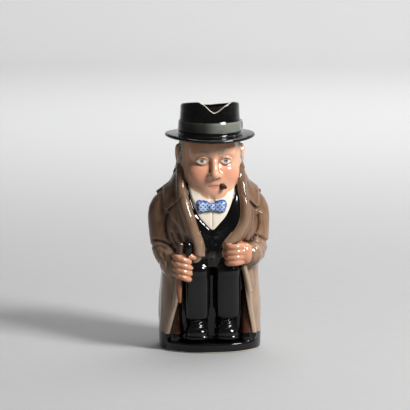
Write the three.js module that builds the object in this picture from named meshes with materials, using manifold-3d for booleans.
// Toby jug: a hollow jug of glazed earthenware in the form of a seated man in an open
// overcoat. His hat is the mouth of the jug, with a V-shaped pouring lip at its front, and
// a loop handle stands at his back. The whole jug is one casting, so it is one mesh.
//
// Millimetres, +Z up. The man looks along -Y, and his right hand is on the -X side.
// While it is shaped the jug stands on z = 0 with the axis of its plinth at x = y = 0. At
// the end it is moved so that the middle of the underside of its bounding box is the origin.

import * as THREE from "three";
import { mergeVertices } from "three/addons/utils/BufferGeometryUtils.js";
import Module from "manifold-3d";

const wasm = await Module();
wasm.setup();

// ---- Driving dimensions ----

const FLOOR = 5; // thickness of the floor of the jug
const PLINTH = { height: 14, step: 9, inset: 1, edge: 4.5 }; // the dark ground at the feet
const FOOT = { width: 6, recess: 1.2 }; // the flat ring that the jug stands on
const OVERLAP = 1; // how far joined forms reach into each other
const BODY_SQUARENESS = 2.3; // exponent of the body's cross-section: 2 is an ellipse
const HEAD_TURN = THREE.MathUtils.degToRad(4); // the head looks a little to its left

// Half-width, and depth in front of and behind the axis, from the plinth up to the collar.
const COAT_LEVELS = [
  { z: 0, side: 48, front: 42, back: 42 },
  { z: 16, side: 48.3, front: 42, back: 42 },
  { z: 45, side: 47.8, front: 41, back: 40 },
  { z: 60, side: 46.6, front: 39.5, back: 40 },
  { z: 75, side: 46, front: 38, back: 40.5 },
  { z: 105, side: 48, front: 36.5, back: 41.5 },
  { z: 120, side: 47.5, front: 35.5, back: 41 },
  { z: 132, side: 45.5, front: 33.5, back: 39.5 },
  { z: 142, side: 43.5, front: 30.5, back: 37.5 },
  { z: 150, side: 38.8, front: 27, back: 35.5 },
  { z: 160, side: 33.4, front: 23, back: 32.5 },
  { z: 170, side: 28.8, front: 20, back: 29.5 },
  { z: 177, side: 25.8, front: 17, back: 27.5 },
];
const COAT_TOP = COAT_LEVELS.at(-1).z;

// The hollow, from the floor up through the neck and the head to the mouth in the hat.
const CAVITY_LEVELS = [
  { z: FLOOR, side: 37, front: 12, back: 30 },
  { z: 10, side: 42, front: 16, back: 35 },
  { z: 45, side: 43, front: 17.5, back: 36 },
  { z: 75, side: 42, front: 19, back: 36.5 },
  { z: 92, side: 43.5, front: 27, back: 37 },
  { z: 115, side: 44, front: 31, back: 37 },
  { z: 132, side: 42, front: 29, back: 35.5 },
  { z: 145, side: 37, front: 25.5, back: 33 },
  { z: 157, side: 30, front: 22.5, back: 29 },
  { z: 170, side: 24, front: 24, back: 24 },
  { z: 203, side: 23, front: 24.5, back: 23 },
  { z: 213, side: 25, front: 27, back: 27 },
  { z: 222, side: 23.8, front: 25.4, back: 25.4 },
  { z: 240, side: 22, front: 23.5, back: 23.5 },
];

const HEAD = { z: 180, halfWidth: 28.2, halfDepth: 28.5, halfHeight: 37, forward: 2.5 };
const CHIN_Z = HEAD.z - HEAD.halfHeight; // underside of the chin
const CROWN_Z = HEAD.z + HEAD.halfHeight; // top of the skull, inside the hat
const HAT = {
  brimZ: 201.2, // middle of the brim
  brimHalfWidth: 42.5,
  brimHalfDepth: 44.2,
  brimThickness: 3.2,
  brimCurl: 0.5, // how far the sides of the brim turn up
  brimDip: 1.8, // and how far its front turns down
  crownHalfWidth: 29,
  crownHalfDepth: 31,
  crownTopHalfWidth: 27.3,
  top: 231.2, // the rim at the sides of the crown
  rimTilt: 0.14, // how much the rim rises for each millimetre towards the front
  bandBottom: 205.4,
  bandTop: 215,
  bandThickness: 0.9,
};
const LIP = { x: 0.2, z: 224.4, right: -13.8, left: 18.8, top: 235 }; // the V in the rim's front

const LAPEL_THICKNESS = 3.4;
const BOW_TIE = { x: -1, z: 137.2, halfWidth: 12.5, lobe: 4.6, waist: 2.8 };
const LEG = { x: 14.2, halfWidth: 12, front: 40.5, ankleZ: 34, kneeZ: 84 };
const HANDLE = { width: 14, thickness: 10, reach: 34, top: 158, bottom: 86 };

// ---- Solids from three.js geometry ----

const WELD = 1e-4; // distance under which two vertices are one

/** A closed geometry as a solid that can be joined and cut. */
function solid(geometry) {
  geometry.deleteAttribute("normal");
  geometry.deleteAttribute("uv");
  const welded = mergeVertices(geometry, WELD);
  const corners = welded.index.array;
  const faces = [];
  for (let i = 0; i < corners.length; i += 3) {
    const [a, b, c] = corners.slice(i, i + 3);
    if (a !== b && b !== c && c !== a) faces.push(a, b, c);
  }
  return new wasm.Manifold(
    new wasm.Mesh({
      numProp: 3,
      vertProperties: welded.attributes.position.array,
      triVerts: new Uint32Array(faces),
    }),
  );
}

/** Several solids as one. */
function joined(solids) {
  return solids.reduce((whole, piece) => whole.add(piece));
}

/** Moves every vertex of a geometry to where move(x, y, z) puts it. */
function reshape(geometry, move) {
  const place = geometry.attributes.position;
  for (let i = 0; i < place.count; i += 1) {
    place.setXYZ(i, ...move(place.getX(i), place.getY(i), place.getZ(i)));
  }
  return geometry;
}

/** A number raised to a power with its sign kept. */
function signedPower(value, power) {
  return Math.sign(value) * Math.abs(value) ** power;
}

/** The sizes between the given levels, as a smooth function of height. */
function between(levels, keys) {
  const heights = levels.map((level) => level.z);
  const values = levels.flatMap((level) => keys.map((key) => level[key]));
  const curve = new THREE.CubicInterpolant(heights, values, keys.length);
  return (z) => Array.from(curve.evaluate(z));
}

/**
 * A form lofted up Z through rounded cross-sections. section(z) gives its half-width, its
 * depth towards the front and its depth towards the back, and lift(angle, t) may raise
 * parts of a ring, where t runs from 0 at the bottom to 1 at the top.
 */
function loft({ bottom, top, rings, facets, squareness, section, lift = () => 0 }) {
  const profile = [new THREE.Vector2(0, 0)];
  for (let ring = 0; ring <= rings; ring += 1) {
    profile.push(new THREE.Vector2(1, ring / rings));
  }
  profile.push(new THREE.Vector2(0, 1));
  const power = 2 / squareness;
  const geometry = reshape(new THREE.LatheGeometry(profile, facets), (x, t, depth) => {
    const z = bottom + (top - bottom) * t;
    const [side, front, back] = section(z);
    const reach = depth > 0 ? front : back;
    return [
      side * signedPower(x, power),
      -reach * signedPower(depth, power),
      z + lift(Math.atan2(depth, x), t),
    ];
  });
  return solid(geometry);
}

/** An ellipsoid at a place, turned by Euler angles in degrees. */
function ellipsoid(at, radii, turn = [0, 0, 0], facets = 10) {
  const geometry = new THREE.SphereGeometry(1, facets, Math.round(facets * 0.7));
  const angles = turn.map(THREE.MathUtils.degToRad);
  const matrix = new THREE.Matrix4().compose(
    new THREE.Vector3(...at),
    new THREE.Quaternion().setFromEuler(new THREE.Euler(...angles)),
    new THREE.Vector3(...radii),
  );
  return solid(geometry.applyMatrix4(matrix));
}

/**
 * A round tube of changing thickness through stops, each a place [x, y, z] and a radius,
 * with a dome on each end.
 */
function limb(stops, facets = 7, ringsPerStop = 1) {
  const spine = new THREE.CatmullRomCurve3(stops.map(({ at }) => new THREE.Vector3(...at)));
  const steps = ringsPerStop * (stops.length - 1);
  const frames = spine.computeFrenetFrames(steps);
  const rings = [];
  const addRing = (step, angle) => {
    const share = step / ringsPerStop;
    const [before, after] = [stops[Math.floor(share)], stops[Math.ceil(share)]];
    const radius = THREE.MathUtils.lerp(before.r, after.r, share % 1);
    rings.push({
      centre: spine
        .getPoint(step / steps)
        .addScaledVector(frames.tangents[step], radius * Math.sin(angle)),
      across: frames.normals[step],
      over: frames.binormals[step],
      radius: Math.abs(angle) === Math.PI / 2 ? 0 : radius * Math.cos(angle),
    });
  };
  addRing(0, -Math.PI / 2);
  addRing(0, -Math.PI / 5);
  for (let step = 0; step <= steps; step += 1) addRing(step, 0);
  addRing(steps, Math.PI / 5);
  addRing(steps, Math.PI / 2);
  const profile = rings.map(({ radius }, index) => new THREE.Vector2(radius, index));
  const place = new THREE.Vector3();
  const geometry = reshape(new THREE.LatheGeometry(profile, facets), (x, index, z) => {
    const { centre, across, over } = rings[Math.round(index)];
    return place.copy(centre).addScaledVector(across, z).addScaledVector(over, x).toArray();
  });
  return solid(geometry);
}

/** An outline seen from the front, as [x, z] corners, extruded from y = near to y = far. */
function prism(outline, near, far) {
  const shape = new THREE.Shape(outline.map(([x, z]) => new THREE.Vector2(x, z)));
  const geometry = new THREE.ExtrudeGeometry(shape, {
    depth: far - near,
    bevelEnabled: false,
  });
  geometry.rotateX(Math.PI / 2);
  geometry.translate(0, far, 0);
  return solid(geometry);
}

/** The same solid on the other side of the figure. */
function onLeft(piece) {
  return piece.mirror([1, 0, 0]);
}

// ---- The seated body and its overcoat ----

const coatSection = between(COAT_LEVELS, ["side", "front", "back"]);

/** The coat's own surface, or one that stands the given distance outside it. */
function coatForm(raise, bottom, top, rings, facets) {
  return loft({
    bottom,
    top,
    rings,
    facets,
    squareness: BODY_SQUARENESS,
    section: (z) => coatSection(z).map((size) => size + raise),
  });
}

/** Raised cloth: what stands over the given prisms, as thick as raise, on the coat. */
function raisedOver(prisms, raise, bottom, rings, facets) {
  return coatForm(raise, bottom, COAT_TOP, rings, facets).intersect(joined(prisms));
}

/** The ground at the man's feet: the upper part of the plinth, with a rounded edge. */
function ground() {
  const { height, step, inset, edge } = PLINTH;
  const rounded = (z) => {
    const above = Math.max(0, z - (height - edge)) / edge;
    return inset + edge * (1 - Math.sqrt(Math.max(0, 1 - above * above)));
  };
  return loft({
    bottom: step - OVERLAP,
    top: height,
    rings: 3,
    facets: 32,
    squareness: BODY_SQUARENESS,
    section: (z) => coatSection(z).map((size) => size - rounded(z)),
  });
}

/** The shallow recess under the plinth, which leaves the foot ring standing. */
function footRecess() {
  return loft({
    bottom: -OVERLAP,
    top: FOOT.recess,
    rings: 1,
    facets: 24,
    squareness: BODY_SQUARENESS,
    section: () => coatSection(0).map((size) => size - FOOT.width),
  });
}

/** The opening between the skirts of the coat, where the legs and the seat show. */
function skirtOpening() {
  const outline = [
    [-40, PLINTH.step],
    [-34, 32],
    [-30.5, 50],
    [-27, 82],
    [27, 82],
    [31, 50],
    [34, 32],
    [38.5, PLINTH.step],
  ];
  return prism(outline, -COAT_LEVELS[0].front - OVERLAP, -22);
}

/** The bench end that shows between a leg and the coat, flaring towards the floor. */
function benchEnd() {
  return limb([
    { at: [-30.5, -22, 54], r: 2.2 },
    { at: [-32.5, -23, 30], r: 4 },
    { at: [-33, -23.5, 12], r: 6 },
  ]);
}

/** The wide collar round the neck and shoulders, and the lapels down the chest. */
function collarAndLapels() {
  const reach = COAT_LEVELS[0].front + LAPEL_THICKNESS; // deeper than any part of the chest
  const rightLapel = [
    [-15, 88],
    [-10, 99],
    [-17, 126],
    [-24, 152],
    [-23, 180],
    [-52, 180],
    [-47.5, 134],
    [-43, 131.5],
    [-38.5, 135.5],
    [-40, 129.5],
    [-28.5, 114.5],
    [-18, 103],
  ];
  const leftLapel = [
    [13, 101.5],
    [22, 110],
    [28, 122],
    [27, 152],
    [23, 180],
    [52, 180],
    [47, 137],
    [43.5, 134.5],
    [39.5, 137.5],
    [40.5, 129],
    [39.5, 121],
    [29, 105.5],
    [20, 101],
  ];
  const behind = [
    [-52, 146],
    [-40, 142],
    [-22, 136],
    [0, 134],
    [22, 136],
    [40, 142],
    [52, 146],
    [52, 180],
    [-52, 180],
  ];
  const cloth = [
    prism(rightLapel, -reach, 0),
    prism(leftLapel, -reach, 0),
    prism(behind, -OVERLAP, reach),
  ];
  return raisedOver(cloth, LAPEL_THICKNESS, 86, 8, 28);
}

/**
 * The rolled edge of the coat, up the right lapel, round the nape and down the left lapel,
 * and the plainer edges of the skirts.
 */
function coatEdges() {
  const roll = limb([
    { at: [-15.5, -37.2, 89], r: 3.6 },
    { at: [-13.6, -37.6, 99], r: 4.6 },
    { at: [-17, -36, 112], r: 4.6 },
    { at: [-22, -33, 127], r: 4.5 },
    { at: [-26.5, -26.5, 143], r: 4.3 },
    { at: [-28.6, -13.5, 163], r: 3.8 },
    { at: [-25.5, 6, 174.5], r: 3.3 },
    { at: [-14, 21, 176.5], r: 3.3 },
    { at: [0, 25.5, 176.5], r: 3.3 },
    { at: [14, 21, 176.5], r: 3.3 },
    { at: [25.5, 6, 174.5], r: 3.3 },
    { at: [28.8, -13.5, 163], r: 3.8 },
    { at: [31, -24, 143], r: 4.6 },
    { at: [31, -29, 125], r: 5 },
    { at: [26, -32.8, 114], r: 4.8 },
    { at: [16.5, -36.6, 104.5], r: 3.8 },
  ]);
  const skirtEdge = (side, low) =>
    limb([
      { at: [side * 29, -32.5, 80], r: 3.4 },
      { at: [side * 33, -30, 50], r: 3.2 },
      { at: [side * low, -25, 15], r: 3 },
    ]);
  return [roll, skirtEdge(-1, 40.5), skirtEdge(1, 39.5)];
}

/** The shirt front, its standing collar and the bow tie. */
function shirtAndTie() {
  const opening = [
    [0, 116.5],
    [-8.5, 127],
    [-15, 138],
    [-20, 148],
    [-24, 160],
    [24, 160],
    [19, 146],
    [15, 136],
    [8, 126],
  ];
  const collar = [
    [-1, 142],
    [-9, 138],
    [-16, 146],
    [-22, 162],
    [22, 162],
    [16, 146],
    [9, 138],
    [1, 142],
  ];
  const { x: middle, z: knotZ, halfWidth, lobe, waist } = BOW_TIE;
  const bow = [
    [middle, knotZ - waist],
    [middle - 0.7 * halfWidth, knotZ - lobe],
    [middle - halfWidth, knotZ - 0.85 * lobe],
    [middle - halfWidth, knotZ + 0.85 * lobe],
    [middle - 0.7 * halfWidth, knotZ + lobe],
    [middle, knotZ + waist],
    [middle + 0.7 * halfWidth, knotZ + lobe],
    [middle + halfWidth, knotZ + 0.85 * lobe],
    [middle + halfWidth, knotZ - 0.85 * lobe],
    [middle + 0.7 * halfWidth, knotZ - lobe],
  ];
  const reach = COAT_LEVELS[0].front;
  return [
    raisedOver([prism(opening, -reach, 0)], 0.8, 115, 5, 24),
    raisedOver([prism(collar, -reach, 0)], 2.6, 136, 3, 24),
    raisedOver([prism(bow, -reach, 0)], 4.2, 130, 2, 24),
    ellipsoid([middle, -34.4, knotZ], [2.4, 2.8, 3.6]),
  ];
}

/**
 * A right sleeve from the shoulder to the wrist, with a thicker cuff at its end. The elbow
 * stands out from the body by the given distance more than the shoulder does.
 */
function sleeve(wrist, elbowOut) {
  const [x, y, z] = wrist;
  return limb(
    [
      { at: [-35.4, 3, 139], r: 12.9 },
      { at: [-32.7 - elbowOut, 1, 129.3], r: 15.1 },
      { at: [-33.1 - elbowOut, -3, 110.5], r: 14.8 },
      { at: [-32 - elbowOut, -10, 95], r: 13.2 },
      { at: [x - 3.5, y + 6, z + 0.8], r: 9.8 },
      { at: wrist, r: 10.4 },
    ],
    12,
    2,
  );
}

/** The right fist, closed round the cane, and the cane itself with its crook handle. */
function rightHandAndCane() {
  const palm = ellipsoid([-30.5, -36, 82], [7.5, 8, 11]);
  const fingers = [];
  const count = 4;
  for (let i = 0; i < count; i += 1) {
    const z = 89.5 - 5.4 * i;
    const reach = -21 + 1.2 * Math.abs(i - 1.2);
    fingers.push(
      limb([
        { at: [-36, -38, z + 1.5], r: 3 },
        { at: [-30.5, -44.4, z + 0.8], r: 3 },
        { at: [reach, -44, z - 0.8], r: 2.7 },
      ]),
    );
  }
  const thumb = limb([
    { at: [-30, -38, 93], r: 3.2 },
    { at: [-24, -43.5, 92.5], r: 3 },
    { at: [-18.5, -44, 91], r: 2.6 },
  ]);
  const cane = limb([
    { at: [-31, -38.5, 48], r: 1.9 },
    { at: [-30.5, -40, 96], r: 3.1 },
    { at: [-30, -40.3, 104], r: 3.3 },
    { at: [-26.5, -40.8, 107], r: 3.5 },
    { at: [-23.7, -41.3, 104], r: 3.7 },
    { at: [-23.2, -41.5, 97], r: 3.8 },
  ]);
  return [palm, ...fingers, thumb, cane];
}

/** The left fist, resting closed on the knee. */
function leftHand() {
  const palm = ellipsoid([24, -35, 93], [11, 8.5, 10.5]);
  const fingers = [];
  const count = 4;
  for (let i = 0; i < count; i += 1) {
    const z = 101 - 5.2 * i;
    fingers.push(
      limb([
        { at: [31, -40.5, z], r: 3 },
        { at: [22, -44.8, z - 0.3], r: 3 },
        { at: [13, -43, z - 0.6], r: 2.7 },
      ]),
    );
  }
  return [palm, ...fingers];
}

/** A trouser leg from the knee down, and the boot below it. */
function leg() {
  const { x, halfWidth, front, ankleZ, kneeZ } = LEG;
  const knee = 9; // radius over the top of the knee
  const section = (z) => {
    const above = Math.max(0, z - (kneeZ - knee)) / knee;
    const round = Math.sqrt(Math.max(0, 1 - above * above));
    const share = 0.35 + 0.65 * round;
    const sweep = 2.5 * ((kneeZ - z) / (kneeZ - ankleZ));
    return [halfWidth * share, 14 * share - sweep, 12];
  };
  const trouser = loft({
    bottom: ankleZ - 4,
    top: kneeZ,
    rings: 7,
    facets: 16,
    squareness: 2.8,
    section,
  }).translate([-x, 14 - front, 0]);
  const boot = [
    ellipsoid([-x, -27.5, 25], [10.6, 13.2, 14], [0, 0, 0], 12),
    ellipsoid([-x, -31.5, 19], [11, 10.6, 7.5], [0, 0, 0], 12),
    loft({
      bottom: PLINTH.height - OVERLAP,
      top: PLINTH.height + 2.2,
      rings: 1,
      facets: 16,
      squareness: 2.4,
      section: () => [11.4, 11, 11],
    }).translate([-x, -31.5, 0]),
  ];
  return [trouser, ...boot];
}

/** The lower waistcoat between the coat's edges, and the thighs that come from under it. */
function lap() {
  const thigh = limb([
    { at: [-12, -20, 87], r: 10.5 },
    { at: [2 - LEG.x, -31, 79], r: 9.6 },
  ]);
  return [ellipsoid([0, -22.5, 90], [22, 14.2, 9], [0, 0, 0], 12), thigh, onLeft(thigh)];
}

/** The loop handle behind the back. */
function handle() {
  const { width, thickness, reach, top, bottom } = HANDLE;
  const back = 29; // depth of the coat's back where the handle leaves it
  const spine = new THREE.CatmullRomCurve3(
    [
      [back, top],
      [back + 0.5 * reach, top + 5],
      [back + 0.9 * reach, top - 3],
      [back + reach, top - 20],
      [back + 0.88 * reach, bottom + 22],
      [back + 0.5 * reach, bottom + 5],
      [back + 0.1 * reach, bottom],
    ].map(([y, z]) => new THREE.Vector3(0, y, z)),
  );
  const section = new THREE.Shape();
  section.absellipse(0, 0, width / 2, thickness / 2, 0, 2 * Math.PI);
  return solid(
    new THREE.ExtrudeGeometry(section, {
      steps: 15,
      curveSegments: 4,
      extrudePath: spine,
    }),
  );
}

// ---- The head and the hat, which share one small turn ----

const TEXTBOOK = {
  eyes: (CHIN_Z + CROWN_Z) / 2, // the eyes are half-way up the head
  noseBase: CHIN_Z + 0.28 * (CROWN_Z - CHIN_Z),
  mouth: CHIN_Z + 0.19 * (CROWN_Z - CHIN_Z),
  brow: CHIN_Z + 0.57 * (CROWN_Z - CHIN_Z),
  eyeSpread: (2 * HEAD.halfWidth) / 5, // a face is five eyes wide
};

// The relief of a calm, plain face: swellings on the front of the head, each with its
// middle across and up the face, its half-sizes and how far it stands out. A swelling off
// the middle line is there on both sides.
const FACE_RELIEF = [
  { x: 0, z: TEXTBOOK.noseBase + 8, wide: 3.4, high: 8, out: 4.2 },
  { x: 0, z: TEXTBOOK.noseBase + 3, wide: 3.8, high: 3.4, out: 3.6 },
  { x: 4.2, z: TEXTBOOK.noseBase + 2, wide: 2.2, high: 2.4, out: 2 },
  { x: 9.5, z: TEXTBOOK.brow + 1.5, wide: 7.5, high: 2.8, out: 2 },
  { x: TEXTBOOK.eyeSpread, z: TEXTBOOK.eyes, wide: 6.5, high: 4, out: -2.4 },
  { x: TEXTBOOK.eyeSpread, z: TEXTBOOK.eyes - 0.4, wide: 3.6, high: 2, out: 2 },
  { x: 14, z: TEXTBOOK.noseBase + 2, wide: 7, high: 7, out: 2.4 },
  { x: 0, z: TEXTBOOK.mouth + 1.3, wide: 6.5, high: 1.5, out: 1.5 },
  { x: 0, z: TEXTBOOK.mouth - 1.9, wide: 5.2, high: 1.6, out: 1.7 },
  { x: 0, z: CHIN_Z + 5.5, wide: 6.5, high: 4.5, out: 2.2 },
];

/** How far the face stands out at a place across and up its front. */
function faceRelief(x, z) {
  return FACE_RELIEF.reduce((total, swelling) => {
    const up = ((z - swelling.z) / swelling.high) ** 2;
    const across = [swelling.x, -swelling.x].map((at) => ((x - at) / swelling.wide) ** 2);
    const distance = Math.min(...across) + up;
    return total + swelling.out * Math.exp(-distance);
  }, 0);
}

/** The head: an egg with a broad jaw, the face's relief on its front, and the ears. */
function head() {
  const { z: middle, halfWidth, halfDepth, halfHeight, forward } = HEAD;
  const { eyes, mouth } = TEXTBOOK;
  const crowding = 0.5; // how much closer together the vertical facets are at the face
  const jawFullness = 0.13;
  const egg = reshape(new THREE.SphereGeometry(1, 24, 22), (x, up, depth) => {
    const out = Math.hypot(x, depth);
    const angle = Math.atan2(x, depth);
    const turned = angle - crowding * Math.sin(angle);
    const low = Math.max(0, -up);
    const roundness = up > 0 ? 0.4 : 1 - 0.3 * low; // the skull's sides run up into the hat
    const full = out ** roundness * (1 + jawFullness * low);
    const side = halfWidth * full * Math.sin(turned);
    const front = halfDepth * full * Math.cos(turned);
    const z = middle + halfHeight * up;
    const facing = Math.max(0, out * Math.cos(turned));
    return [side, -front - (forward + faceRelief(side, z)) * Math.sqrt(facing), z];
  });
  const ear = ellipsoid([-halfWidth - 0.2, 0, eyes + 3], [4.6, 6.5, 11.5], [8, 6, 0]);
  const lips = -forward - halfDepth;
  const cigar = limb([
    { at: [6, lips + 6, mouth], r: 1.7 },
    { at: [9, lips - 4.5, mouth - 0.8], r: 2 },
  ]);
  return [solid(egg), ear, onLeft(ear), cigar];
}

/** The brim, a thin disc with a round edge whose sides turn up and whose front dips. */
function brim() {
  const { brimZ, brimHalfWidth, brimHalfDepth, brimThickness, brimCurl, brimDip } = HAT;
  const half = brimThickness / 2;
  const profile = [
    new THREE.Vector2(0, -half),
    new THREE.Vector2(0.7, -half),
    new THREE.Vector2(0.93, -half),
  ];
  const edgeSteps = 4;
  for (let i = 1; i < edgeSteps; i += 1) {
    const angle = -Math.PI / 2 + (Math.PI * i) / edgeSteps;
    profile.push(new THREE.Vector2(0.965 + 0.035 * Math.cos(angle), half * Math.sin(angle)));
  }
  profile.push(
    new THREE.Vector2(0.93, half),
    new THREE.Vector2(0.72, half + 1.4),
    new THREE.Vector2(0, half + 1.4),
  );
  const disc = reshape(new THREE.LatheGeometry(profile, 32), (x, y, depth) => {
    const curl = brimCurl * (x * x - depth * depth) - brimDip * Math.max(0, depth) ** 2;
    return [x * brimHalfWidth, -depth * brimHalfDepth, brimZ + y + curl];
  });
  return solid(disc);
}

/** The crown with its ribbon band and flat bow, before the mouth and the lip are cut. */
function crown() {
  const { brimZ, crownHalfWidth, crownHalfDepth, crownTopHalfWidth, top, rimTilt } = HAT;
  const { bandBottom, bandTop, bandThickness } = HAT;
  const shoulder = 2.4; // radius over the rim
  const sizeAt = (z) => {
    const t = THREE.MathUtils.clamp((z - brimZ) / (top - brimZ), 0, 1);
    const above = Math.max(0, z - (top - shoulder)) / shoulder;
    const round = shoulder * (1 - Math.sqrt(Math.max(0, 1 - above * above)));
    const side = THREE.MathUtils.lerp(crownHalfWidth, crownTopHalfWidth, t) - 0.6 * round;
    return [side, (side * crownHalfDepth) / crownHalfWidth];
  };
  const wall = loft({
    bottom: brimZ - OVERLAP,
    top,
    rings: 7,
    facets: 28,
    squareness: 2.1,
    section: (z) => [sizeAt(z)[0], sizeAt(z)[1], sizeAt(z)[1]],
    lift: (angle, t) => rimTilt * sizeAt(top)[1] * t * t * Math.sin(angle),
  });
  const band = loft({
    bottom: bandBottom,
    top: bandTop,
    rings: 1,
    facets: 32,
    squareness: 2.1,
    section: (z) => sizeAt(z).concat(sizeAt(z)[1]).map((size) => size + bandThickness),
  });
  const middle = (bandBottom + bandTop) / 2;
  const bow = [
    ellipsoid([crownHalfWidth + 0.2, 0, middle], [1.7, 9, 4.4], [0, 0, 0], 12),
    ellipsoid([crownHalfWidth + 1, 0, middle], [1.9, 2.4, 4.9]),
  ];
  return [wall, band, ...bow];
}

/** What is cut from the front of the rim to make the pouring lip. */
function pouringLip() {
  const above = LIP.top + 6;
  const outline = [
    [LIP.x, LIP.z],
    [LIP.x + 4.3, LIP.z + 1.9],
    [LIP.x + 10, LIP.z + 6.1],
    [LIP.left, LIP.top],
    [LIP.left, above],
    [LIP.right, above],
    [LIP.right, LIP.top],
    [LIP.x - 8, LIP.z + 6.6],
    [LIP.x - 3.2, LIP.z + 1.9],
  ];
  return prism(outline, -HAT.crownHalfDepth - OVERLAP, -10);
}

/** The hollow of the jug, open at the hat. */
function cavity() {
  const levels = between(CAVITY_LEVELS, ["side", "front", "back"]);
  return loft({
    bottom: FLOOR,
    top: CAVITY_LEVELS.at(-1).z,
    rings: 14,
    facets: 20,
    squareness: 2.1,
    section: levels,
  });
}

// ---- The whole jug ----

/** The jug as one solid, shaped on the plinth's axis. */
function jugSolid() {
  const turn = THREE.MathUtils.radToDeg(HEAD_TURN);
  const headAndHat = joined([...head(), brim(), ...crown()])
    .subtract(pouringLip())
    .rotate([0, 0, turn]);
  const coat = coatForm(0, 0, COAT_TOP, 14, 34).subtract(skirtOpening());
  return joined([
    coat,
    ground(),
    benchEnd(),
    onLeft(benchEnd()),
    collarAndLapels(),
    ...coatEdges(),
    ...shirtAndTie(),
    sleeve([-33, -31, 83], 9.7),
    onLeft(sleeve([-32, -30, 92.5], 8.2)),
    ...lap(),
    ...leg(),
    ...leg().map(onLeft),
    ...rightHandAndCane(),
    ...leftHand(),
    handle(),
    headAndHat,
  ])
    .subtract(cavity())
    .subtract(footRecess());
}

/** A solid as a flat-shaded three.js geometry. */
function geometryOf(shape) {
  const mesh = shape.getMesh();
  const geometry = new THREE.BufferGeometry();
  geometry.setAttribute("position", new THREE.BufferAttribute(mesh.vertProperties, 3));
  geometry.setIndex(new THREE.BufferAttribute(mesh.triVerts, 1));
  geometry.computeVertexNormals();
  return geometry;
}

const glaze = new THREE.MeshStandardMaterial({
  color: new THREE.Color(0.36, 0.25, 0.18),
  roughness: 0.12,
  metalness: 0,
  flatShading: true,
});

const jug = new THREE.Mesh(geometryOf(jugSolid()), glaze);
jug.name = "toby_jug";
jug.geometry.computeBoundingBox();
const middle = jug.geometry.boundingBox.getCenter(new THREE.Vector3());
jug.position.set(-middle.x, -middle.y, -jug.geometry.boundingBox.min.z);

const tobyJug = new THREE.Group();
tobyJug.add(jug);

export default tobyJug;
